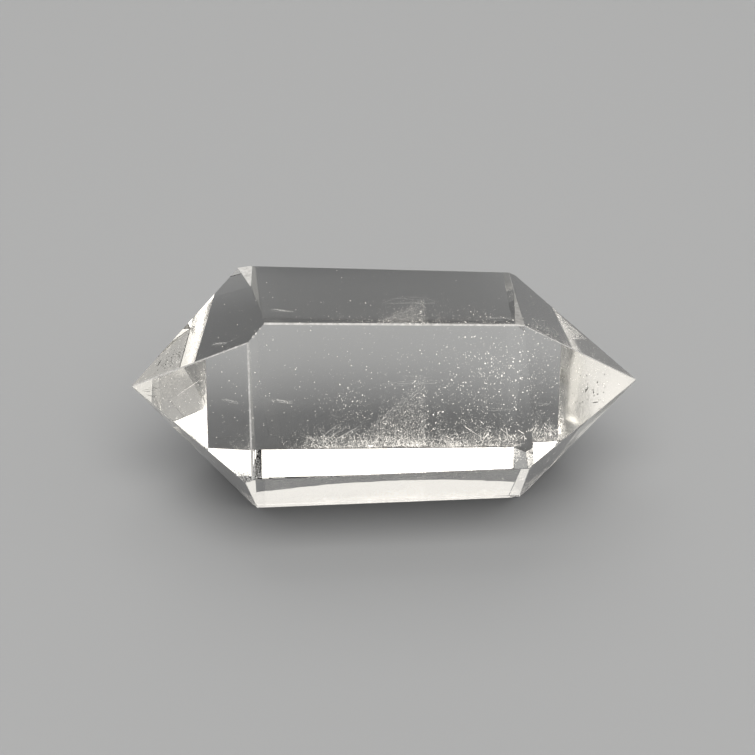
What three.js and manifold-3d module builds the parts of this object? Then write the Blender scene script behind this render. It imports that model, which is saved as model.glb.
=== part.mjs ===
// A clear quartz crystal with a point at each end, cut and polished, lying on one long face.
// Millimetres, +Z up, +X from the left point to the right point, -Y towards the viewer.
// The solid is what is left of a block after each flat face, each narrow edge flat, each corner
// facet and each chip has been taken off it.

import * as THREE from 'three';
import { mergeVertices } from 'three/addons/utils/BufferGeometryUtils.js';
import Module from 'manifold-3d';

// Driving dimensions

const tipToTip = 55;
const leftTipHeight = 11.55;
const rightTipHeight = 11.4;

// How far each tip stands behind the crystal's long middle line
const leftTipBack = 0.3;
const rightTipBack = -0.3;

// Long faces. turn is the way a face looks, in degrees round the length from straight ahead
// (-Y) over the top (+Z). taper is how far it leans in towards the right-hand end, in degrees.
// reach is its distance from the middle of the crystal's foot, in millimetres.
const longFaces = {
  top: { turn: 93.1, taper: 1.6, reach: 23.25 },
  upperFront: { turn: 28, taper: 0.5, reach: 16.35 },
  lowerFront: { turn: -34.4, taper: 1, reach: 5.45 },
  resting: { turn: -90, taper: 0, reach: 0 },
  lowerBack: { turn: 203.1, taper: 1.3, reach: 4.7 },
  upperBack: { turn: 146.1, taper: 2.6, reach: 16.9 },
};

// End faces all pass through their own tip. slope is the angle between the direction a face
// looks in and the crystal's length.
const leftFaces = {
  leftTop: { turn: 83, slope: 47.8 },
  leftUpperFront: { turn: 27.4, slope: 48.4 },
  leftLowerFront: { turn: -40.5, slope: 45.6 },
  leftUnder: { turn: -90.8, slope: 48.1 },
  leftLowerBack: { turn: 204.2, slope: 54.3 },
  leftUpperBack: { turn: 150.4, slope: 48.5 },
};
const rightFaces = {
  rightTop: { turn: 94, slope: 50.9 },
  rightUpperFront: { turn: 31.2, slope: 51.6 },
  rightLowerFront: { turn: -32.6, slope: 49.1 },
  rightUnder: { turn: -89.3, slope: 46.5 },
  rightLowerBack: { turn: 206.2, slope: 54.2 },
  rightUpperBack: { turn: 148.4, slope: 53.6 },
};

// Polishing leaves a narrow flat along every edge. The ridge between the top and the upper
// front face is the widest, and the edges at the left point are plain to see too.
const edgeFlatWidth = 0.09;
const widerEdgeFlats = [
  { faces: ['top', 'upperFront'], width: 0.24 },
  { faces: ['upperFront', 'leftUpperFront'], width: 0.2 },
  { faces: ['leftTop', 'leftUpperFront'], width: 0.16 },
  { faces: ['upperFront', 'lowerFront'], width: 0.14 },
  { faces: ['rightTop', 'rightUpperFront'], width: 0.12 },
];
const shortestFlattedEdge = 0.6;

// Two corners are ground down by a small slanting facet. reaches says how far it runs along the
// three edges that meet there: of the first face with the second, of the second with the
// third, and of the third with the first.
const cornerFacets = [
  { corner: ['top', 'leftTop', 'upperBack'], reaches: [4.5, 0.8, 1] },
  { corner: ['top', 'rightTop', 'upperFront'], reaches: [6.7, 0.12, 0.87] },
];

// Each point ends in a small blunt facet, this far in from the sharp tip.
const leftTipBlunt = 0.16;
const rightTipBlunt = 0.08;

// Chips: a shallow scoop, from a corner towards a second corner. Each corner is named by the
// three faces that meet there, along is the share of the way, and size is the scoop's width.
const cornerFaces = {
  frontLeftShoulder: ['upperFront', 'leftTop', 'leftUpperFront'],
  ridgeLeft: ['top', 'upperFront', 'leftTop'],
  leftTip: ['leftTop', 'leftUpperFront', 'leftLowerFront'],
  frontLeftKnee: ['upperFront', 'leftUpperFront', 'lowerFront'],
  footLeft: ['lowerFront', 'leftLowerFront', 'resting'],
  footRight: ['lowerFront', 'rightLowerFront', 'resting'],
  kneeRight: ['upperFront', 'rightUpperFront', 'rightLowerFront'],
  rightTip: ['rightTop', 'rightUpperFront', 'rightLowerFront'],
  rightShoulder: ['upperBack', 'rightTop', 'rightUpperBack'],
};
const chips = [
  { from: 'frontLeftShoulder', to: 'ridgeLeft', along: 0.3, size: 0.5 },
  { from: 'frontLeftShoulder', to: 'ridgeLeft', along: 0.47, size: 0.42 },
  { from: 'frontLeftShoulder', to: 'ridgeLeft', along: 0.72, size: 0.36 },
  { from: 'frontLeftShoulder', to: 'leftTip', along: 0.1, size: 0.36 },
  { from: 'frontLeftShoulder', to: 'leftTip', along: 0.2, size: 0.42 },
  { from: 'frontLeftShoulder', to: 'frontLeftKnee', along: 0.06, size: 0.44 },
  { from: 'footRight', to: 'footLeft', along: 0.015, size: 1.1 },
  { from: 'footRight', to: 'footLeft', along: 0.34, size: 0.3 },
  { from: 'footLeft', to: 'footRight', along: 0.01, size: 0.5 },
  { from: 'kneeRight', to: 'rightTip', along: 0.22, size: 0.7 },
  { from: 'kneeRight', to: 'rightTip', along: 0.64, size: 0.3 },
  { from: 'rightShoulder', to: 'rightTip', along: 0.26, size: 0.42 },
  { from: 'leftTip', to: 'frontLeftShoulder', along: 0.06, size: 0.26 },
];
const chipDepthShare = 0.24;
const chipFlatness = 0.75;
const chipRoundness = 2;

// Colour and shine of clear, faintly warm quartz
const quartzColour = new THREE.Color(0.93, 0.94, 0.93);
const quartzRoughness = 0.04;

const degrees = Math.PI / 180;
const wasm = await Module();
wasm.setup();

function longFace({ turn, taper, reach }) {
  const across = Math.cos(taper * degrees);
  const normal = new THREE.Vector3(
    Math.sin(taper * degrees),
    -across * Math.cos(turn * degrees),
    across * Math.sin(turn * degrees),
  );
  return new THREE.Plane(normal, -reach);
}

function endFace({ turn, slope }, tip) {
  const across = Math.sin(slope * degrees);
  const normal = new THREE.Vector3(
    Math.sign(tip.x) * Math.cos(slope * degrees),
    -across * Math.cos(turn * degrees),
    across * Math.sin(turn * degrees),
  );
  return new THREE.Plane().setFromNormalAndCoplanarPoint(normal, tip);
}

// The point where three planes meet, by Cramer's rule.
function meetingPoint(a, b, c) {
  const bc = new THREE.Vector3().crossVectors(b.normal, c.normal);
  const ca = new THREE.Vector3().crossVectors(c.normal, a.normal);
  const ab = new THREE.Vector3().crossVectors(a.normal, b.normal);
  const volume = a.normal.dot(bc);
  return bc
    .multiplyScalar(-a.constant)
    .addScaledVector(ca, -b.constant)
    .addScaledVector(ab, -c.constant)
    .divideScalar(volume);
}

function toSolid(geometry) {
  const bare = geometry.clone();
  bare.deleteAttribute('normal');
  bare.deleteAttribute('uv');
  const merged = mergeVertices(bare);
  return new wasm.Manifold(
    new wasm.Mesh({
      numProp: 3,
      vertProperties: merged.attributes.position.array,
      triVerts: new Uint32Array(merged.index.array),
    }),
  );
}

function toGeometry(solid) {
  const mesh = solid.getMesh();
  const indexed = new THREE.BufferGeometry();
  indexed.setAttribute('position', new THREE.BufferAttribute(mesh.vertProperties, 3));
  indexed.setIndex(new THREE.BufferAttribute(mesh.triVerts, 1));
  const flat = indexed.toNonIndexed();
  flat.computeVertexNormals();
  return flat;
}

// Takes off everything on the outer side of each plane.
function cutByPlanes(solid, planes) {
  return planes.reduce((left, plane) => {
    const inward = plane.normal.clone().negate();
    return left.trimByPlane(inward.toArray(), plane.constant);
  }, solid);
}

// The plane of a flat of the given width along the edge where two faces meet.
function edgeFlat(faceA, faceB, pointOnEdge, width) {
  const normal = faceA.normal.clone().add(faceB.normal).normalize();
  const halfTurn = faceA.normal.angleTo(faceB.normal) / 2;
  const depth = (width / 2) * Math.tan(halfTurn);
  const middle = pointOnEdge.clone().addScaledVector(normal, -depth);
  return new THREE.Plane().setFromNormalAndCoplanarPoint(normal, middle);
}

// The plane of a small facet across the corner where three faces meet.
function cornerFacet({ corner, reaches }) {
  const three = corner.map((name) => faces[name]);
  const meeting = meetingPoint(...three);
  const ends = reaches.map((reach, i) => {
    const away = three[(i + 2) % 3];
    const edge = new THREE.Vector3().crossVectors(three[i].normal, three[(i + 1) % 3].normal);
    if (edge.dot(away.normal) > 0) edge.negate();
    return meeting.clone().addScaledVector(edge.normalize(), reach);
  });
  const facet = new THREE.Plane().setFromCoplanarPoints(...ends);
  return facet.distanceToPoint(meeting) > 0 ? facet : facet.negate();
}

// The ends of the edge that two faces share, or null where they share none. Along the line
// where their planes cross, every other face bounds the stretch that is on the solid.
function sharedEdge(faceA, faceB, others) {
  const line = new THREE.Vector3().crossVectors(faceA.normal, faceB.normal);
  if (line.length() < 1e-6) return null;
  line.normalize();
  const squareOn = new THREE.Plane(line, 0);
  const start = meetingPoint(faceA, faceB, squareOn);
  let low = -tipToTip;
  let high = tipToTip;
  for (const other of others) {
    const rate = other.normal.dot(line);
    const gap = -other.distanceToPoint(start);
    if (rate > 1e-9) high = Math.min(high, gap / rate);
    if (rate < -1e-9) low = Math.max(low, gap / rate);
    if (Math.abs(rate) <= 1e-9 && gap < 0) return null;
  }
  if (high - low < shortestFlattedEdge) return null;
  return [start.clone().addScaledVector(line, low), start.clone().addScaledVector(line, high)];
}

function flatWidth(nameA, nameB) {
  const wider = widerEdgeFlats.find(({ faces }) => faces.includes(nameA) && faces.includes(nameB));
  return wider ? wider.width : edgeFlatWidth;
}

// The faces, by name

const leftTip = new THREE.Vector3(-tipToTip / 2, leftTipBack, leftTipHeight);
const rightTip = new THREE.Vector3(tipToTip / 2, rightTipBack, rightTipHeight);
const faces = {};
for (const [name, face] of Object.entries(longFaces)) faces[name] = longFace(face);
for (const [name, face] of Object.entries(leftFaces)) faces[name] = endFace(face, leftTip);
for (const [name, face] of Object.entries(rightFaces)) faces[name] = endFace(face, rightTip);

// The narrow flats on the edges, and the blunt facets on the two tips

const names = Object.keys(faces);
const edgeFlats = [];
names.forEach((nameA, i) => {
  for (const nameB of names.slice(i + 1)) {
    const others = names.filter((name) => name !== nameA && name !== nameB);
    const edge = sharedEdge(faces[nameA], faces[nameB], others.map((name) => faces[name]));
    if (edge) edgeFlats.push(edgeFlat(faces[nameA], faces[nameB], edge[0], flatWidth(nameA, nameB)));
  }
});
const bluntFacets = [
  new THREE.Plane(new THREE.Vector3(-1, 0, 0), -(tipToTip / 2 - leftTipBlunt)),
  new THREE.Plane(new THREE.Vector3(1, 0, 0), -(tipToTip / 2 - rightTipBlunt)),
];

// A chip is an oval scoop, sunk in towards the middle of the crystal.
function chipScoop({ from, to, along, size }) {
  const [start, end] = [from, to].map((corner) => {
    const [a, b, c] = cornerFaces[corner].map((name) => faces[name]);
    return meetingPoint(a, b, c);
  });
  const place = start.clone().lerp(end, along);
  const outward = place.clone().sub(new THREE.Vector3(0, 0, leftTipHeight)).setX(0).normalize();
  const scoop = new THREE.IcosahedronGeometry(size / 2, chipRoundness);
  scoop.scale(1, 1, chipFlatness);
  scoop.lookAt(outward);
  const middle = place.addScaledVector(outward, size * (0.5 - chipDepthShare) * chipFlatness);
  scoop.translate(middle.x, middle.y, middle.z);
  return toSolid(scoop);
}

function quartzCrystal() {
  const block = toSolid(new THREE.BoxGeometry(2 * tipToTip, tipToTip, 2 * tipToTip));
  const smallFacets = [...edgeFlats, ...cornerFacets.map(cornerFacet), ...bluntFacets];
  const faceted = cutByPlanes(block, [...Object.values(faces), ...smallFacets]);
  const chipped = chips.reduce((left, chip) => left.subtract(chipScoop(chip)), faceted);
  const geometry = toGeometry(chipped);

  // The origin is the middle of the crystal's box, on the surface it rests on.
  geometry.computeBoundingBox();
  const box = geometry.boundingBox;
  const middle = box.getCenter(new THREE.Vector3());
  geometry.translate(-middle.x, -middle.y, -box.min.z);

  const material = new THREE.MeshStandardMaterial({
    color: quartzColour,
    roughness: quartzRoughness,
    metalness: 0,
  });
  const mesh = new THREE.Mesh(geometry, material);
  mesh.name = 'quartz_crystal';
  return mesh;
}

const part = new THREE.Group();
part.add(quartzCrystal());

export default part;
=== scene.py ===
# Clear quartz crystal with a point at each end, lying on one long face: its looks, light and camera.
import math

import bmesh
import bpy
import numpy as np
from mathutils import Matrix, Vector


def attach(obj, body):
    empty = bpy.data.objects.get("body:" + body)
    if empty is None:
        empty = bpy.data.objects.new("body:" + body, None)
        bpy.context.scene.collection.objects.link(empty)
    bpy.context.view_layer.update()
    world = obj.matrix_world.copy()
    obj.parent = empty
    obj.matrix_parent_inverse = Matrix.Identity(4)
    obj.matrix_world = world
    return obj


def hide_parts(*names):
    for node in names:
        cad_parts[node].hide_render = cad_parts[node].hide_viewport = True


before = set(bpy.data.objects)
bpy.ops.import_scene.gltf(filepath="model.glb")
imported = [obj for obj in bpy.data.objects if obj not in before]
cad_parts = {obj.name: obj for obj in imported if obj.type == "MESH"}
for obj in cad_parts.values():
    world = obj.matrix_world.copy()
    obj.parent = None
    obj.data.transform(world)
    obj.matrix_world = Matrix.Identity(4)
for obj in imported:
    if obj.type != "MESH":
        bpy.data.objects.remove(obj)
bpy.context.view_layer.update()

mm = 0.001  # sizes below are in millimetres where no other unit is named, and the meshes are in metres
tiny = 1e-12  # keeps a division off zero
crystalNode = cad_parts["quartz_crystal"]
scene = bpy.context.scene

# camera: the point it aims at, and how it stands and turns round that point, in degrees
cameraLook = {
    "aim": (-0.88, 2.04, 11.41),
    "turn": 4.7,
    "height": 37.38,
    "roll": 1.62,
    "distance": 196.35,
    "lens": 85.83,
    "sensor": 36.0,
    "clip": (0.005, 50),  # metres
}


def makeCamera(look):
    # the line of sight is (sin turn cos height, cos turn cos height, -sin height),
    # and the camera stands back along it from the aim point and rolls about it
    turn, height = math.radians(look["turn"]), math.radians(look["height"])
    flat = math.cos(height)
    ahead = Vector((math.sin(turn) * flat, math.cos(turn) * flat, -math.sin(height)))
    side = Vector((math.cos(turn), -math.sin(turn), 0))
    up = side.cross(ahead)
    roll = Matrix.Rotation(math.radians(look["roll"]), 3, "Z")
    facing = Matrix((side, up, -ahead)).transposed() @ roll
    data = bpy.data.cameras.new("camera")
    data.lens, data.sensor_width = look["lens"], look["sensor"]
    data.clip_start, data.clip_end = look["clip"]
    camera = bpy.data.objects.new("camera", data)
    place = (Vector(look["aim"]) - ahead * look["distance"]) * mm
    camera.matrix_world = Matrix.Translation(place) @ facing.to_4x4()
    scene.collection.objects.link(camera)
    scene.camera = camera


makeCamera(cameraLook)
print("camera set")


def newMaterial(name):
    # a material, its nodes and its links
    material = bpy.data.materials.new(name)
    material.use_nodes = True
    return material, material.node_tree.nodes, material.node_tree.links


mottleLook = {
    "inputs": {"Scale": 900, "Low": 0, "High": 1},
    "detail": 3,
    "spread": (0.3, 0.7),  # the span of the noise that is stretched over low to high
}


def mottleGroup(look):
    # cloudy change between a low and a high value: low + (high - low) * noise at the point
    group = bpy.data.node_groups.new("fineMottle", "ShaderNodeTree")
    number = "NodeSocketFloat"
    for name, value in look["inputs"].items():
        group.interface.new_socket(name, in_out="INPUT", socket_type=number).default_value = value
    group.interface.new_socket("Value", in_out="OUTPUT", socket_type=number)
    nodes, links = group.nodes, group.links
    given, out = nodes.new("NodeGroupInput"), nodes.new("NodeGroupOutput")
    place, noise = nodes.new("ShaderNodeTexCoord"), nodes.new("ShaderNodeTexNoise")
    spread = nodes.new("ShaderNodeMapRange")
    noise.inputs["Detail"].default_value = look["detail"]
    spread.inputs["From Min"].default_value, spread.inputs["From Max"].default_value = look["spread"]
    links.new(place.outputs["Object"], noise.inputs["Vector"])
    links.new(given.outputs["Scale"], noise.inputs["Scale"])
    links.new(noise.outputs["Fac"], spread.inputs["Value"])
    links.new(given.outputs["Low"], spread.inputs["To Min"])
    links.new(given.outputs["High"], spread.inputs["To Max"])
    links.new(spread.outputs["Result"], out.inputs["Value"])
    return group


mottle = mottleGroup(mottleLook)


def addMottle(nodes, scale, low, high):
    # one use of the mottle, with its own values
    node = nodes.new("ShaderNodeGroup")
    node.node_tree = mottle
    for name, value in (("Scale", scale), ("Low", low), ("High", high)):
        node.inputs[name].default_value = value
    return node


# floor: a plain pale sheet, a hair below the face that the crystal rests on
floorLook = {"width": 6000, "gap": 0.02, "colour": (0.5, 0.515, 0.54, 1.0), "roughness": 0.9}


def makeFloor(look):
    half, low = look["width"] / 2 * mm, -look["gap"] * mm
    mesh = bpy.data.meshes.new("floor")
    corners = [(-half, -half, low), (half, -half, low), (half, half, low), (-half, half, low)]
    mesh.from_pydata(corners, [], [(0, 1, 2, 3)])
    floor = bpy.data.objects.new("floor", mesh)
    scene.collection.objects.link(floor)
    material, nodes = newMaterial("floorPaper")[:2]
    shader = nodes["Principled BSDF"]
    shader.inputs["Base Color"].default_value = look["colour"]
    shader.inputs["Roughness"].default_value = look["roughness"]
    mesh.materials.append(material)


makeFloor(floorLook)

# softboxes: way is the direction each stands in, in degrees to the right of straight behind, and their
# sizes and distances are in metres
lightLook = {
    "aim": (0, 0, 0.01),
    "roomGrey": 0.2,
    "warm": (1.0, 0.965, 0.9),
    "softboxes": {
        "overhead": {"way": 180, "height": 68, "distance": 0.9, "size": (1.15, 0.8), "radiance": 2.0},
        "highBehind": {"way": -8, "height": 54, "distance": 0.9, "size": (0.8, 0.4), "radiance": 1.3},
        "lowBehind": {"way": 5, "height": 18, "distance": 1.0, "size": (1.25, 0.26), "radiance": 0.9},
        "lineBehind": {
            "way": 2, "height": 3.9, "distance": 1.0, "size": (0.5, 0.09), "radiance": 0.9, "roll": -3.7,
        },
        "rightLow": {"way": 92, "height": 11, "distance": 1.0, "size": (1.5, 0.26), "radiance": 0.85},
        "rightHigh": {"way": 92, "height": 32, "distance": 1.0, "size": (1.5, 0.42), "radiance": 0.3},
        "leftLow": {"way": -88, "height": 12, "distance": 1.0, "size": (1.5, 0.3), "radiance": 0.75},
    },
}


def makeLights(look):
    world = bpy.data.worlds.new("room")
    world.use_nodes = True
    world.node_tree.nodes["Background"].inputs["Color"].default_value = (*[look["roomGrey"]] * 3, 1)
    scene.world = world
    aim = Vector(look["aim"])
    for name, box in look["softboxes"].items():
        way, height = math.radians(box["way"]), math.radians(box["height"])
        flat = math.cos(height)
        towards = Vector((math.sin(way) * flat, math.cos(way) * flat, math.sin(height)))
        data = bpy.data.lights.new(name, "AREA")
        data.shape = "RECTANGLE"
        data.size, data.size_y = box["size"]
        data.energy = box["radiance"] * math.pi * box["size"][0] * box["size"][1]
        data.color = look["warm"]
        light = bpy.data.objects.new(name, data)
        turned = towards.to_track_quat("Z", "Y").to_matrix().to_4x4()
        turned @= Matrix.Rotation(math.radians(box.get("roll", 0)), 4, "Z")
        light.matrix_world = Matrix.Translation(aim + towards * box["distance"]) @ turned
        light.visible_camera = False
        scene.collection.objects.link(light)


makeLights(lightLook)
print("floor and lights set")

# clear quartz
quartzLook = {
    "ior": 1.544,
    "absorbed": (0.95, 0.93, 0.85, 1.0),
    "density": 6.0,
    "polish": (0.0, 0.012),      # roughness from the best polished to the least polished places
    "polishScale": 260,
    "softFrom": 17.55,           # the polish gets softer from here along the crystal to softTo
    "softTo": 18.4,
    "softRoughness": 0.1,
    "waveScale": 170,
    "waveStrength": 0.03,
    "waveDepth": 0.02,
    "mergeWithin": 0.0005,
    "sameWithin": 0.6,           # degrees between two normals that count as one
    "roundTo": 3,                # decimals of a normal that tell two planes apart
    "smallestBroad": 20.0,       # square mm of a broad face
    "smallestFacet": 0.25,       # square mm, and a flat spot smaller than this is part of a chip
    "shortestSum": 0.3,          # two faces whose normals add up to less look away from each other
    "groundEdges": [
        ("top", "upperFront"), ("lowerFront", "resting"), ("upperFront", "leftUpperFront"),
        ("leftTop", "leftUpperFront"), ("rightTop", "rightUpperFront"),
    ],
}


def quartzMaterial(look):
    # see-through, with a polish that gets softer towards the right point and a trace of waviness
    material, nodes, links = newMaterial("clearQuartz")
    shader = nodes["Principled BSDF"]
    shader.inputs["Base Color"].default_value = (1, 1, 1, 1)
    shader.inputs["Transmission Weight"].default_value = 1
    shader.inputs["IOR"].default_value = look["ior"]
    polish = addMottle(nodes, look["polishScale"], *look["polish"])
    place, apart = nodes.new("ShaderNodeTexCoord"), nodes.new("ShaderNodeSeparateXYZ")
    soft, both = nodes.new("ShaderNodeMapRange"), nodes.new("ShaderNodeMath")
    soft.inputs["From Min"].default_value = look["softFrom"] * mm
    soft.inputs["From Max"].default_value = look["softTo"] * mm
    soft.inputs["To Max"].default_value = look["softRoughness"]
    links.new(place.outputs["Object"], apart.inputs["Vector"])
    links.new(apart.outputs["X"], soft.inputs["Value"])
    links.new(soft.outputs["Result"], both.inputs[0])
    links.new(polish.outputs["Value"], both.inputs[1])
    wave = addMottle(nodes, look["waveScale"], 0, 1)
    bump = nodes.new("ShaderNodeBump")
    bump.inputs["Strength"].default_value = look["waveStrength"]
    bump.inputs["Distance"].default_value = look["waveDepth"] * mm
    volume = nodes.new("ShaderNodeVolumeAbsorption")
    volume.inputs["Color"].default_value = look["absorbed"]
    volume.inputs["Density"].default_value = look["density"]
    links.new(both.outputs["Value"], shader.inputs["Roughness"])
    links.new(wave.outputs["Value"], bump.inputs["Height"])
    links.new(bump.outputs["Normal"], shader.inputs["Normal"])
    links.new(volume.outputs["Volume"], nodes["Material Output"].inputs["Volume"])
    return material


def faceNormals(mesh):
    # each triangle's normal times twice its area, and its first corner
    mesh.calc_loop_triangles()
    corners = np.empty(len(mesh.loop_triangles) * 3, np.int32)
    points = np.empty(len(mesh.vertices) * 3, np.float32)
    mesh.loop_triangles.foreach_get("vertices", corners)
    mesh.vertices.foreach_get("co", points)
    triangles = points.reshape(-1, 3)[corners.reshape(-1, 3)].astype(float) / mm
    first, second, third = triangles[:, 0], triangles[:, 1], triangles[:, 2]
    return np.cross(second - first, third - first), first


def broadFaces(mesh, smallest):
    # the planes whose triangles together cover more than smallest square millimetres: their normals, and
    # the reach of each, which is its normal times one of its corners
    scaled, corner = faceNormals(mesh)
    area = np.linalg.norm(scaled, axis=1) / 2
    unit = scaled / np.maximum(area * 2, tiny)[:, None]
    rounded = np.round(unit, quartzLook["roundTo"])
    which = np.unique(rounded, axis=0, return_inverse=True)[1]
    which = which.ravel()
    covered = np.bincount(which, area)
    found = np.flatnonzero(covered > smallest)
    largest = [np.flatnonzero(which == kind)[area[which == kind].argmax()] for kind in found]
    normals = unit[largest]
    return normals, (normals * corner[largest]).sum(1)


faceWay, faceReach = broadFaces(crystalNode.data, quartzLook["smallestBroad"])
print("broad faces", len(faceWay))


def insideCrystal(points, margin):
    # True where a point is inside every broad face by more than margin: normal times point < reach - margin
    return (points @ faceWay.T < faceReach - margin).all(1)


def facing(way):
    # the broad face that looks most nearly in a given direction
    index = int((faceWay @ np.array(way)).argmax())
    return faceWay[index], faceReach[index]


def underFace(way, along, height, depth):
    # the spot of a broad face at a place along the crystal and a height, sunk in by depth along the normal:
    # across = (reach - normal x * along - normal z * height) / normal y
    normal, reach = facing(way)
    along, height = np.broadcast_arrays(along, height)
    across = (reach - normal[0] * along - normal[2] * height) / normal[1]
    return np.stack([along, across, height], -1) - np.asarray(depth)[..., None] * normal


def between(pair, share):
    # low + (high - low) * share
    return pair[0] + (pair[1] - pair[0]) * share


def addPiece(name, points, faces, material):
    mesh = bpy.data.meshes.new(name)
    mesh.from_pydata(points * mm, [], faces)
    mesh.polygons.foreach_set("use_smooth", np.zeros(len(mesh.polygons), bool))
    mesh.materials.append(material)
    mesh.update()
    piece = bpy.data.objects.new(name, mesh)
    scene.collection.objects.link(piece)
    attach(piece, "root")


# ground quartz: edge is the white of a ground edge, a chip or the left corner facet, and dull is the greyer
# right corner facet
groundLook = {
    "edge": (0.62, 0.98),
    "dull": (0.3, 0.5),
    "whiteScale": 2200,
    "rough": (0.35, 0.6),
    "roughScale": 1500,
}


def groundMaterial(name, white, look):
    # matt, with a mottled white and a mottled roughness
    material, nodes, links = newMaterial(name)
    shader = nodes["Principled BSDF"]
    shader.inputs["IOR"].default_value = quartzLook["ior"]
    white = addMottle(nodes, look["whiteScale"], *white)
    rough = addMottle(nodes, look["roughScale"], *look["rough"])
    links.new(white.outputs["Value"], shader.inputs["Base Color"])
    links.new(rough.outputs["Value"], shader.inputs["Roughness"])
    return material


# roughly which way each named face looks
faceWays = {
    "top": (0, 0, 1),
    "upperFront": (0, -0.88, 0.47),
    "lowerFront": (0, -0.82, -0.56),
    "resting": (0, 0, -1),
    "lowerBack": (0, 0.92, -0.39),
    "leftTop": (-0.67, -0.09, 0.73),
    "leftUpperFront": (-0.66, -0.66, 0.34),
    "rightTop": (0.63, 0.05, 0.77),
    "rightUpperFront": (0.62, -0.67, 0.41),
}


def groundFaces(ways, mesh, look):
    # the material of each triangle: 1 for a chip, a corner facet or a flat along a ground edge, 2 for the
    # corner facet at the right, which is polished more, and 0 for the rest
    scaled = faceNormals(mesh)[0]
    unit = scaled / np.maximum(np.linalg.norm(scaled, axis=1), tiny)[:, None]
    near = math.cos(math.radians(look["sameWithin"]))
    onBroad = (unit @ faceWay.T).max(1) > near
    pairs = (faceWay[:, None] + faceWay[None]).reshape(-1, 3)
    pairs = pairs[np.linalg.norm(pairs, axis=1) > look["shortestSum"]]
    pairs /= np.linalg.norm(pairs, axis=1)[:, None]
    onFlat = (unit @ pairs.T).max(1) > near
    onFacet = (unit @ broadFaces(mesh, look["smallestFacet"])[0].T).max(1) > near
    ground = ~onBroad & ~onFlat
    dull = ground & onFacet & (unit[:, 0] > 0)
    for first, second in look["groundEdges"]:
        middle = facing(ways[first])[0] + facing(ways[second])[0]
        ground |= unit @ (middle / np.linalg.norm(middle)) > near
    return (ground & ~onBroad).astype(np.int32) + dull


def makeCrystal(look):
    # a merged copy of the CAD body, flat shaded, so that each polished face stays a true plane
    mesh = crystalNode.data.copy()
    mesh.name = "crystal"
    piece = bpy.data.objects.new("crystal", mesh)
    scene.collection.objects.link(piece)
    shape = bmesh.new()
    shape.from_mesh(mesh)
    bmesh.ops.remove_doubles(shape, verts=shape.verts, dist=look["mergeWithin"] * mm)
    bmesh.ops.triangulate(shape, faces=shape.faces)
    shape.to_mesh(mesh)
    shape.free()
    mesh.materials.clear()
    mesh.materials.append(quartzMaterial(look))
    mesh.materials.append(groundMaterial("groundEdge", groundLook["edge"], groundLook))
    mesh.materials.append(groundMaterial("dullFacet", groundLook["dull"], groundLook))
    ground = groundFaces(faceWays, mesh, look)
    mesh.polygons.foreach_set("material_index", ground)
    mesh.polygons.foreach_set("use_smooth", np.zeros(len(mesh.polygons), bool))
    mesh.update()
    print("ground triangles", np.bincount(ground))
    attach(piece, "root")
    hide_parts("quartz_crystal")


makeCrystal(quartzLook)
print("crystal made")


def randomTurns(rng, count):
    # turns spread evenly over all ways of standing: four normal numbers each, taken as a unit quaternion
    four = rng.normal(size=(4, count))
    w, x, y, z = four / np.linalg.norm(four, axis=0)
    return np.stack([
        np.stack([1 - 2 * (y * y + z * z), 2 * (x * y - w * z), 2 * (x * z + w * y)], -1),
        np.stack([2 * (x * y + w * z), 1 - 2 * (x * x + z * z), 2 * (y * z - w * x)], -1),
        np.stack([2 * (x * z - w * y), 2 * (y * z + w * x), 1 - 2 * (x * x + y * y)], -1),
    ], -2)


def grains(rng, middles, sizes, sides, squash):
    # each grain is a ring of corners (cos a, sin a, 0) with a pole above and below, pressed by its own
    # share along each axis and turned its own way
    turns = np.arange(sides) * 2 * np.pi / sides
    ring = np.stack([np.cos(turns), np.sin(turns), np.zeros(sides)], -1)
    ball = np.vstack([ring, [[0, 0, 1], [0, 0, -1]]])
    nextOne = (np.arange(sides) + 1) % sides
    upper = np.stack([np.arange(sides), nextOne, np.full(sides, sides)], -1)
    lower = np.stack([nextOne, np.arange(sides), np.full(sides, sides + 1)], -1)
    oneFaces = np.vstack([upper, lower])
    count = len(middles)
    pressed = ball[None] * rng.uniform(squash, 1, (count, 1, 3)) * (sizes[:, None, None] / 2)
    turned = np.einsum("nij,nkj->nki", randomTurns(rng, count), pressed)
    points = (middles[:, None] + turned).reshape(-1, 3)
    faces = (oneFaces[None] + (np.arange(count) * len(ball))[:, None, None]).reshape(-1, 3)
    return points, faces


# clouds of grains: how many places are tried for each one kept, how far inside the quartz it has to be, and
# how strongly the small sizes outnumber the large ones
cloudLook = {"tries": 6, "margin": 0.25, "sizeFall": 3}


def cloud(rng, look):
    # places of a bell-shaped cloud, kept where they are inside the quartz, and a size for each
    tries = rng.normal(size=(look["count"] * cloudLook["tries"], 3)) * look["spread"] + look["middle"]
    kept = tries[insideCrystal(tries, cloudLook["margin"])][: look["count"]]
    return kept, between(look["size"], rng.random(len(kept)) ** cloudLook["sizeFall"])


def cloudsOf(rng, looks):
    # the places and the sizes of several clouds together
    places, sizes = zip(*[cloud(rng, look) for look in looks])
    return np.vstack(places), np.concatenate(sizes)


# tiny hollows in the quartz, with a painted glow: the sparkling kind glows brightly and the dusty kind less
hollowLook = {
    "glowingSparks": {
        "glow": 1.7, "mirror": (0.8, 1.0), "dim": (0.12, 0.11, 0.1, 1), "bright": (1.0, 0.95, 0.87, 1),
    },
    "glowingDust": {
        "glow": 0.5, "mirror": (0.6, 1.0), "dim": (0.12, 0.12, 0.12, 1), "bright": (1.0, 0.98, 0.94, 1),
    },
    "mirrorScale": 2600,
    "rough": (0.15, 0.45),
    "roughScale": 1400,
    "litScale": 3100,
}


def coloursOf(sockets):
    # a colour mix has sockets for numbers too
    return [socket for socket in sockets if socket.type == "RGBA"]


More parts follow.
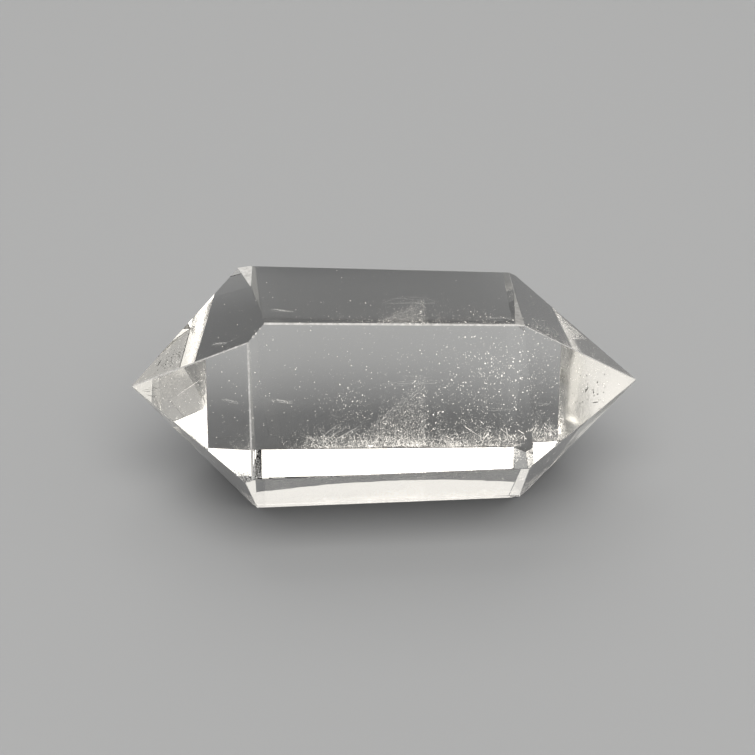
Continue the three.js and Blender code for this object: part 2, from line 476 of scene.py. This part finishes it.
def glowingHollowMaterial(name, kind, look):
    # mirrors what is round it, and has a painted glow: emission mottled between a dim and a bright colour,
    # standing in for the light that reaches hollows inside the quartz
    material, nodes, links = newMaterial(name)
    shader = nodes["Principled BSDF"]
    shader.inputs["Metallic"].default_value = 1
    shader.inputs["Emission Strength"].default_value = kind["glow"]
    mirror = addMottle(nodes, look["mirrorScale"], *kind["mirror"])
    rough = addMottle(nodes, look["roughScale"], *look["rough"])
    share = addMottle(nodes, look["litScale"], 0, 1)
    # the colour of the painted glow, mottled between its dim and bright colours
    lit = nodes.new("ShaderNodeMix")
    lit.data_type = "RGBA"
    for socket, colour in zip(coloursOf(lit.inputs), (kind["dim"], kind["bright"])):
        socket.default_value = colour
    links.new(share.outputs["Value"], lit.inputs["Factor"])
    links.new(mirror.outputs["Value"], shader.inputs["Base Color"])
    links.new(rough.outputs["Value"], shader.inputs["Roughness"])
    links.new(coloursOf(lit.outputs)[0], shader.inputs["Emission Color"])
    return material


glowingSparks = glowingHollowMaterial("hollowSparkGlow", hollowLook["glowingSparks"], hollowLook)
glowingDust = glowingHollowMaterial("hollowDustGlow", hollowLook["glowingDust"], hollowLook)

# sparkles: clouds of grains in the clear middle and towards both points, made bright by the painted glow of
# their material
sparkleLook = {
    "seed": 11,
    "sides": 4,
    "squash": 0.45,
    "clouds": [
        {"middle": (8.6, -4.2, 14.6), "spread": (4.2, 2.6, 3.6), "count": 820, "size": (0.05, 0.24)},
        {"middle": (11.5, -5.0, 18.0), "spread": (1.8, 1.6, 1.6), "count": 190, "size": (0.06, 0.24)},
        {"middle": (16.5, -3.0, 17.5), "spread": (2.0, 2.2, 2.8), "count": 230, "size": (0.05, 0.18)},
        {"middle": (-4.6, -4.5, 14.4), "spread": (1.3, 1.0, 0.9), "count": 90, "size": (0.06, 0.2)},
        {"middle": (-9.5, 0.0, 12.0), "spread": (6.5, 5.0, 5.0), "count": 320, "size": (0.05, 0.19)},
        {"middle": (2.0, 0.0, 10.0), "spread": (9.0, 5.0, 5.0), "count": 520, "size": (0.05, 0.14)},
        {"middle": (22.0, -1.0, 14.5), "spread": (2.0, 1.6, 1.8), "count": 140, "size": (0.05, 0.16)},
        {"middle": (-21.5, 0.5, 13.5), "spread": (2.2, 1.8, 2.0), "count": 110, "size": (0.05, 0.14)},
    ],
}


def makeSparkles(look):
    rng = np.random.default_rng(look["seed"])
    middles, sizes = cloudsOf(rng, look["clouds"])
    points, faces = grains(rng, middles, sizes, look["sides"], look["squash"])
    addPiece("sparkles", points, faces, glowingSparks)


makeSparkles(sparkleLook)
print("sparkles made")

# frost: crowded fine grains just under the lower back face, near its edge with the resting face
frostLook = {
    "seed": 23,
    "sides": 3,
    "squash": 0.35,
    "bands": [
        {
            "along": (-9.5, 15.5), "height": (0.2, 1.5), "depth": (0.04, 0.8),
            "count": 4200, "size": (0.04, 0.12),
        },
        {
            "along": (-8.5, 15.0), "height": (0.3, 3.4), "depth": (0.05, 1.3),
            "count": 3600, "size": (0.04, 0.14),
        },
        {
            "along": (-4.0, 12.5), "height": (0.8, 5.6), "depth": (0.05, 1.6),
            "count": 1300, "size": (0.04, 0.15),
        },
    ],
    "fade": 2.2,                 # how strongly the grains crowd towards the foot of their band
    "depthFall": 1.5,
    "sizeFall": 3,
    "stray": 1.3,
    "margin": 0.04,
    "clumpLengths": (0.9, 2.3, 5.1),
    "clumpShare": 0.55,
}


def clumps(rng, along, lengths, share):
    # uneven growth along the crystal: 1 plus a share of the mean of some waves with random starts
    lengths = np.array(lengths)
    starts = rng.uniform(0, 2 * np.pi, len(lengths))
    waves = np.sin(along[:, None] * 2 * np.pi / lengths + starts)
    return 1 + share * waves.mean(1) * math.sqrt(len(lengths))


def makeFrost(look):
    rng = np.random.default_rng(look["seed"])
    middles, sizes = [], []
    for band in look["bands"]:
        share = rng.random((3, band["count"]))
        along = between(band["along"], share[0]) + rng.normal(size=band["count"]) * look["stray"]
        low, high = band["height"]
        rise = (high - low) * share[1] ** look["fade"]
        height = low + rise * clumps(rng, along, look["clumpLengths"], look["clumpShare"])
        depth = between(band["depth"], share[2] ** look["depthFall"])
        middles.append(underFace(faceWays["lowerBack"], along, height, depth))
        sizes.append(between(band["size"], rng.random(band["count"]) ** look["sizeFall"]))
    middles, sizes = np.vstack(middles), np.concatenate(sizes)
    kept = insideCrystal(middles, look["margin"])
    points, faces = grains(rng, middles[kept], sizes[kept], look["sides"], look["squash"])
    addPiece("frost", points, faces, glowingSparks)


makeFrost(frostLook)
print("frost made")

# threads: what the fine needles, cracks and hairs have in common
threadLook = {
    "rings": 9,
    "sides": 3,
    "waves": 3,            # half waves along a thread
    "steep": 0.8,          # a thread that rises more than this takes its crosswise direction from +X
    "taper": (0.02, 0.98),  # the stretch over which the width follows its curve
    "widthFall": 2,
}


def sweptThreads(starts, ends, widths, bends, wiggles, rng):
    # each thread is a ring of corners carried along start + (end - start) t + bend 4 t (1 - t) + a small
    # wave across it, and its width falls off to both ends as the root of sin(pi t)
    rings, sides, waves = threadLook["rings"], threadLook["sides"], threadLook["waves"]
    t = np.linspace(0, 1, rings)[None, :, None]
    along = ends - starts
    length = np.linalg.norm(along, axis=1, keepdims=True)
    way = along / length
    helper = np.where(np.abs(way[:, 2:]) < threadLook["steep"], [[0.0, 0.0, 1.0]], [[1.0, 0.0, 0.0]])
    across = np.cross(way, helper)
    across /= np.linalg.norm(across, axis=1, keepdims=True)
    over = np.cross(way, across)
    phase = rng.uniform(0, 2 * np.pi, (len(starts), 1, 1))
    wave = np.sin(waves * np.pi * t + phase) - np.sin(phase) * (1 - t) - np.sin(waves * np.pi + phase) * t
    path = starts[:, None] + along[:, None] * t + bends[:, None] * 4 * t * (1 - t)
    path = path + wave * wiggles[:, None, None] * across[:, None]
    turn = (np.arange(sides) * 2 * np.pi / sides)[None, :, None]
    ring = across[:, None] * np.cos(turn) + over[:, None] * np.sin(turn)
    thick = widths[:, None, None] / 2 * np.sqrt(np.sin(np.pi * np.clip(t, *threadLook["taper"])))
    points = path[:, :, None] + ring[:, None] * thick[:, :, None]
    step = np.arange(rings - 1)[:, None] * sides
    side, nextSide = np.arange(sides), (np.arange(sides) + 1) % sides
    wallCorners = (step + side, step + nextSide, step + sides + nextSide, step + sides + side)
    walls = np.stack(wallCorners, -1).reshape(-1, 4)
    caps = np.array([side[::-1], (rings - 1) * sides + side])
    offset = np.arange(len(starts))[:, None, None] * rings * sides
    walls = (walls[None] + offset).reshape(-1, 4)
    caps = (caps[None] + offset).reshape(-1, sides)
    return points.reshape(-1, 3), walls.tolist() + caps.tolist()


def threadPiece(name, rng, starts, ends, width, bend, wiggle, material):
    # threads with their own random width, bend and wave, made into one piece
    count = len(starts)
    widths = between(width, rng.random(count) ** threadLook["widthFall"])
    bends = rng.normal(size=(count, 3)) * bend
    wiggles = rng.uniform(0, wiggle, count)
    points, faces = sweptThreads(starts, ends, widths, bends, wiggles, rng)
    addPiece(name, points, faces, material)


# feathers: fine needles that stand up from the crowded frost, just under the lower back face
featherLook = {
    "seed": 31,
    "tufts": [
        {"along": (-9.0, 15.2), "count": 110, "length": (0.15, 0.7), "lean": 1.3, "width": (0.02, 0.04)},
        {"along": (9.5, 14.8), "count": 26, "length": (0.4, 1.4), "lean": 0.7, "width": (0.025, 0.055)},
        {"along": (-8.8, -1.0), "count": 14, "length": (0.5, 1.5), "lean": 1.4, "width": (0.015, 0.03)},
    ],
    "height": (0.15, 1.1),
    "depth": (0.08, 1.1),
    "deeper": 0.1,               # how much deeper a feather ends than it starts
    "lengthFall": 2,
    "bend": 0.07,
    "wiggle": 0.06,
}


def makeFeathers(look):
    rng = np.random.default_rng(look["seed"])
    for number, tuft in enumerate(look["tufts"], 1):
        share = rng.random((4, tuft["count"]))
        along = between(tuft["along"], share[0])
        height = between(look["height"], share[1])
        depth = between(look["depth"], share[2])
        length = between(tuft["length"], share[3] ** look["lengthFall"])
        starts = underFace(faceWays["lowerBack"], along, height, depth)
        reached = along + rng.normal(size=len(along)) * tuft["lean"] * length
        ends = underFace(faceWays["lowerBack"], reached, height + length, depth + look["deeper"])
        name = f"feathers_{number}"
        threadPiece(name, rng, starts, ends, tuft["width"], look["bend"], look["wiggle"], glowingSparks)


makeFeathers(featherLook)
print("feathers made")

# veils: thin healed cracks near the lower back face. Each is a bundle of threads between two places, given
# as (along, height, depth) under that face
veilLook = {
    "seed": 41,
    "bundles": [
        {
            "from": (-0.3, 6.7, 0.2), "to": (6.1, 6.9, 0.3), "scatter": 0.1,
            "count": 3, "width": (0.015, 0.03), "bend": 0.3,
        },
        {
            "from": (1.8, 7.8, 0.2), "to": (5.0, 7.6, 0.4), "scatter": 0.1,
            "count": 2, "width": (0.01, 0.02), "bend": 0.2,
        },
        {
            "from": (-2.4, 1.4, 0.2), "to": (3.6, 6.0, 0.3), "scatter": 0.3,
            "count": 3, "width": (0.01, 0.02), "bend": 0.15,
        },
        {
            "from": (-7.6, 0.8, 0.2), "to": (-5.0, 2.4, 0.3), "scatter": 0.25,
            "count": 4, "width": (0.01, 0.03), "bend": 0.08,
        },
        {
            "from": (-5.6, 0.8, 0.2), "to": (-2.9, 2.4, 0.3), "scatter": 0.25,
            "count": 4, "width": (0.01, 0.03), "bend": 0.08,
        },
        {
            "from": (-12.6, 5.1, 0.1), "to": (-10.2, 4.8, 0.2), "scatter": 0.1,
            "count": 5, "width": (0.01, 0.035), "bend": 0.05,
        },
        {
            "from": (11.0, 4.1, 0.3), "to": (13.8, 4.1, 0.3), "scatter": 0.1,
            "count": 2, "width": (0.015, 0.03), "bend": 0.05,
        },
    ],
    "sunk": 0.05,
    "wiggle": 0.05,
    "haze": {
        "along": (-4.2, 4.4), "low": 0.3, "rise": 0.84, "fade": 1.5, "stray": 0.12,
        "count": 3900, "depth": (0.03, 0.5), "size": (0.03, 0.09), "sides": 3, "squash": 0.3,
    },
}


def makeVeils(look):
    rng = np.random.default_rng(look["seed"])
    for number, bundle in enumerate(look["bundles"], 1):
        count = bundle["count"]
        near = rng.normal(size=(2, count, 3)) * bundle["scatter"]
        places = np.array([bundle["from"], bundle["to"]])[:, None] + near
        depth = np.abs(places[..., 2]) + look["sunk"]
        starts, ends = underFace(faceWays["lowerBack"], places[..., 0], places[..., 1], depth)
        name = f"veil_{number}"
        threadPiece(name, rng, starts, ends, bundle["width"], bundle["bend"], look["wiggle"], glowingDust)
    # the haze of the big veil is a wedge that rises along the crystal and ends in a clean cut at its right:
    # height = low + share ** fade * rise * (along - start)
    haze = look["haze"]
    count = haze["count"]
    along = between(haze["along"], np.sqrt(rng.random(count)))
    height = haze["low"] + rng.random(count) ** haze["fade"] * haze["rise"] * (along - haze["along"][0])
    along += rng.normal(size=count) * haze["stray"]
    depth = between(haze["depth"], rng.random(count))
    sizes = between(haze["size"], rng.random(count))
    middles = underFace(faceWays["lowerBack"], along, height, depth)
    points, faces = grains(rng, middles, sizes, haze["sides"], haze["squash"])
    addPiece("veil_haze", points, faces, glowingSparks)


makeVeils(veilLook)
print("veils made")

# curls: a few curly white hairs low down near the right shoulder
curlLook = {
    "seed": 47,
    "middle": (14.9, -0.9, 6.2),
    "scatter": 0.4,
    "count": 6,
    "length": 0.6,
    "stretch": (0.5, 0.3, 0.7),  # share of the length along each axis
    "width": (0.03, 0.07),
    "bend": 0.2,
    "wiggle": 0.25,
}


def makeCurls(look):
    rng = np.random.default_rng(look["seed"])
    starts = np.array(look["middle"]) + rng.normal(size=(look["count"], 3)) * look["scatter"]
    ends = starts + rng.normal(size=(look["count"], 3)) * look["length"] * look["stretch"]
    threadPiece("curls", rng, starts, ends, look["width"], look["bend"], look["wiggle"], glowingSparks)


makeCurls(curlLook)
print("curls made")

# dark material in the quartz, nearly black and mottled
darkGrainLook = {"shade": (0.008, 0.06), "shadeScale": 2400}


def darkMaterial(look):
    material, nodes, links = newMaterial("darkGrain")
    shade = addMottle(nodes, look["shadeScale"], *look["shade"])
    links.new(shade.outputs["Value"], nodes["Principled BSDF"].inputs["Base Color"])
    return material


darkGrain = darkMaterial(darkGrainLook)

# scratches just under the left upper front face: one long pale one, and short dark ones towards the point.
# Each is given by where it starts and ends, as (along, height)
scratchLook = {
    "seed": 53,
    "sunk": 0.06,
    "pale": [((-22.4, 13.4), (-20.0, 16.1))],
    "dark": [
        ((-26.3, 11.75), (-25.3, 12.2)), ((-26.1, 12.0), (-25.0, 12.5)), ((-25.9, 11.6), (-24.9, 11.9)),
        ((-25.6, 12.4), (-24.7, 12.9)), ((-25.3, 11.8), (-24.5, 12.2)), ((-25.0, 12.6), (-24.3, 13.1)),
    ],
    "paleWidth": (0.04, 0.06),
    "darkWidth": (0.03, 0.05),
    "bend": 0.01,
    "wiggle": 0.01,
}


def scratchThreads(name, lines, width, look, rng, material):
    lines = np.array(lines)
    points = underFace(faceWays["leftUpperFront"], lines[..., 0], lines[..., 1], look["sunk"])
    threadPiece(name, rng, points[:, 0], points[:, 1], width, look["bend"], look["wiggle"], material)


def makeScratches(look):
    rng = np.random.default_rng(look["seed"])
    scratchThreads("scratch_pale", look["pale"], look["paleWidth"], look, rng, glowingSparks)
    scratchThreads("scratches_dark", look["dark"], look["darkWidth"], look, rng, darkGrain)


makeScratches(scratchLook)
print("scratches made")

# dark grains: a dash, a forked speck and loose grains near the right point, and a cloud near the left one
darkLook = {
    "seed": 5,
    "sides": 5,
    "squash": 0.4,
    "strokes": [
        ((21.75, -4.1, 12.1), (22.55, -3.55, 11.75)),
        ((20.75, -3.95, 13.35), (21.05, -3.7, 13.75)),
        ((21.0, -3.85, 13.6), (21.15, -3.6, 13.9)),
        ((20.95, -3.8, 13.55), (20.8, -3.95, 13.85)),
    ],
    "strokeWidth": (0.13, 0.16),
    "bend": 0.02,
    "wiggle": 0.03,
    "places": [(18.65, -6.3, 13.05), (23.1, -2.45, 12.2), (19.6, -5.4, 13.2)],
    "sizes": [0.3, 0.24, 0.18],
    "clouds": [
        {"middle": (22.3, -3.0, 12.8), "spread": (1.5, 0.8, 1.2), "count": 46, "size": (0.13, 0.34)},
        {"middle": (-22.6, 0.8, 15.7), "spread": (0.9, 0.6, 0.5), "count": 60, "size": (0.1, 0.26)},
        {"middle": (23.2, -2.6, 12.4), "spread": (1.1, 0.7, 0.9), "count": 60, "size": (0.08, 0.18)},
    ],
}


def makeDarkGrains(look):
    rng = np.random.default_rng(look["seed"])
    places, sizes = cloudsOf(rng, look["clouds"])
    middles = np.vstack([look["places"], places])
    sizes = np.concatenate([look["sizes"], sizes])
    points, faces = grains(rng, middles, sizes, look["sides"], look["squash"])
    addPiece("dark_grains", points, faces, darkGrain)
    starts, ends = np.array(look["strokes"]).swapaxes(0, 1)
    width, bend, wiggle = look["strokeWidth"], look["bend"], look["wiggle"]
    threadPiece("dark_strokes", rng, starts, ends, width, bend, wiggle, darkGrain)


makeDarkGrains(darkLook)
print("dark grains made")

# haze in the two points: crowds of very fine hollows close under the polished faces
tipLook = {
    "seed": 59,
    "sides": 3,
    "squash": 0.4,
    "clouds": [
        {"middle": (-22.6, 0.4, 13.8), "spread": (2.0, 2.2, 2.2), "count": 1500, "size": (0.02, 0.07)},
        {"middle": (-22.3, 0.9, 15.4), "spread": (0.9, 0.7, 0.7), "count": 260, "size": (0.04, 0.12)},
        {"middle": (22.4, -1.4, 13.0), "spread": (2.0, 2.4, 2.4), "count": 1500, "size": (0.02, 0.06)},
    ],
}


def makeTipHaze(look):
    rng = np.random.default_rng(look["seed"])
    middles, sizes = cloudsOf(rng, look["clouds"])
    points, faces = grains(rng, middles, sizes, look["sides"], look["squash"])
    addPiece("tip_haze", points, faces, glowingDust)


makeTipHaze(tipLook)
print("tip haze made")

# dusty patches just under a face. Each has its four corners on that face, and grains of one kind and size
patchLook = {
    "seed": 61,
    "sides": 3,
    "squash": 0.4,
    "depth": (0.06, 0.4),
    "stray": 0.05,
    "margin": 0.04,
    "sizeFall": 2,
    "patches": [
        {
            "face": "leftUpperFront", "count": 1000, "size": (0.05, 0.13), "grain": darkGrain,
            "corners": [
                (-17.6, -9.6, 9.6), (-14.9, -11.6, 11.1), (-15.0, -12.4, 9.4), (-16.0, -11.6, 8.8),
            ],
        },
        {
            "face": "leftUpperFront", "count": 1400, "size": (0.05, 0.13), "grain": glowingDust,
            "corners": [
                (-17.6, -9.6, 9.6), (-14.9, -11.6, 11.1), (-15.0, -12.4, 9.4), (-16.0, -11.6, 8.8),
            ],
        },
        {
            "face": "upperFront", "count": 600, "size": (0.05, 0.14), "grain": glowingDust,
            "corners": [
                (-14.6, -10.6, 13.3), (-13.5, -11.0, 12.5), (-13.7, -12.5, 9.8), (-14.7, -12.5, 9.7),
            ],
        },
        {
            "face": "rightTop", "count": 2400, "size": (0.04, 0.1), "grain": glowingSparks,
            "corners": [
                (18.1, 4.0, 18.8), (18.3, 3.6, 18.7), (19.6, -0.4, 17.9), (21.8, 2.3, 15.9),
            ],
        },
    ],
}


def makePatches(look):
    # places (1 - u)(1 - v) a + u (1 - v) b + u v c + (1 - u) v d between the corners a, b, c and d, and v is
    # a root, so that more grains lie towards c and d
    rng = np.random.default_rng(look["seed"])
    for number, patch in enumerate(look["patches"], 1):
        count = patch["count"]
        u, v = rng.random((2, count, 1))
        v = np.sqrt(v)
        a, b, c, d = np.array(patch["corners"])
        spots = (1 - u) * (1 - v) * a + u * (1 - v) * b + u * v * c + (1 - u) * v * d
        spots += rng.normal(size=spots.shape) * look["stray"]
        spots -= rng.uniform(*look["depth"], (count, 1)) * facing(faceWays[patch["face"]])[0]
        spots = spots[insideCrystal(spots, look["margin"])]
        sizes = between(patch["size"], rng.random(len(spots)) ** look["sizeFall"])
        points, faces = grains(rng, spots, sizes, look["sides"], look["squash"])
        addPiece(f"dusty_patch_{number}", points, faces, patch["grain"])


makePatches(patchLook)
print("dusty patches made")

# light paths: how many bounces of each kind are followed
renderLook = {"bounces": 24, "glossy": 12, "diffuse": 4}
scene.cycles.max_bounces = renderLook["bounces"]
scene.cycles.transmission_bounces = renderLook["bounces"]
scene.cycles.glossy_bounces = renderLook["glossy"]
scene.cycles.diffuse_bounces = renderLook["diffuse"]
scene.cycles.caustics_refractive = False
scene.cycles.caustics_reflective = False
scene.view_settings.view_transform = "Standard"
